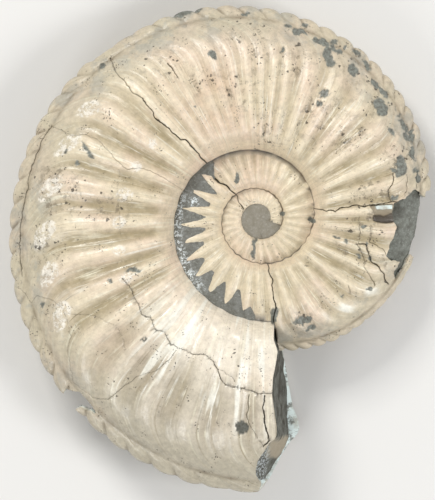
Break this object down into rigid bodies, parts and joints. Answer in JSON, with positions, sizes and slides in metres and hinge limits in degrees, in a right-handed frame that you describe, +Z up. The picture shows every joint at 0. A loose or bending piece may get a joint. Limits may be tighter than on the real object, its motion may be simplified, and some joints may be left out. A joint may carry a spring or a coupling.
{
  "type": "amaltheus ammonite",
  "caption": "Coiled ribbed ammonite fossil with a beaded keel, lying on its flank, with grey stone in its broken mouth, side break, umbilicus and centre.",
  "frame": {"origin": "centre of the footprint on the table, at the height of the table", "axes": "+Z up out of the shown flank, +Y from the mouth's broken end across the coil, +X to the right of the shown flank"},
  "size_m": [0.087, 0.101, 0.0227],
  "materials": {
    "shell": "cream to beige fossil shell, satin with glossy rib crests, olive in the valleys, fine dark cracks and pits",
    "stone": "dull grey fine-grained limestone with darker and paler specks",
    "matrix": "dull blue-grey matrix with small pale calcite sparkles"
  },
  "bodies": {
    "root": {"shell": "shell", "stone_filling": "stone", "umbilical_matrix": "matrix", "centre_matrix": "matrix"}
  },
  "joints": []
}
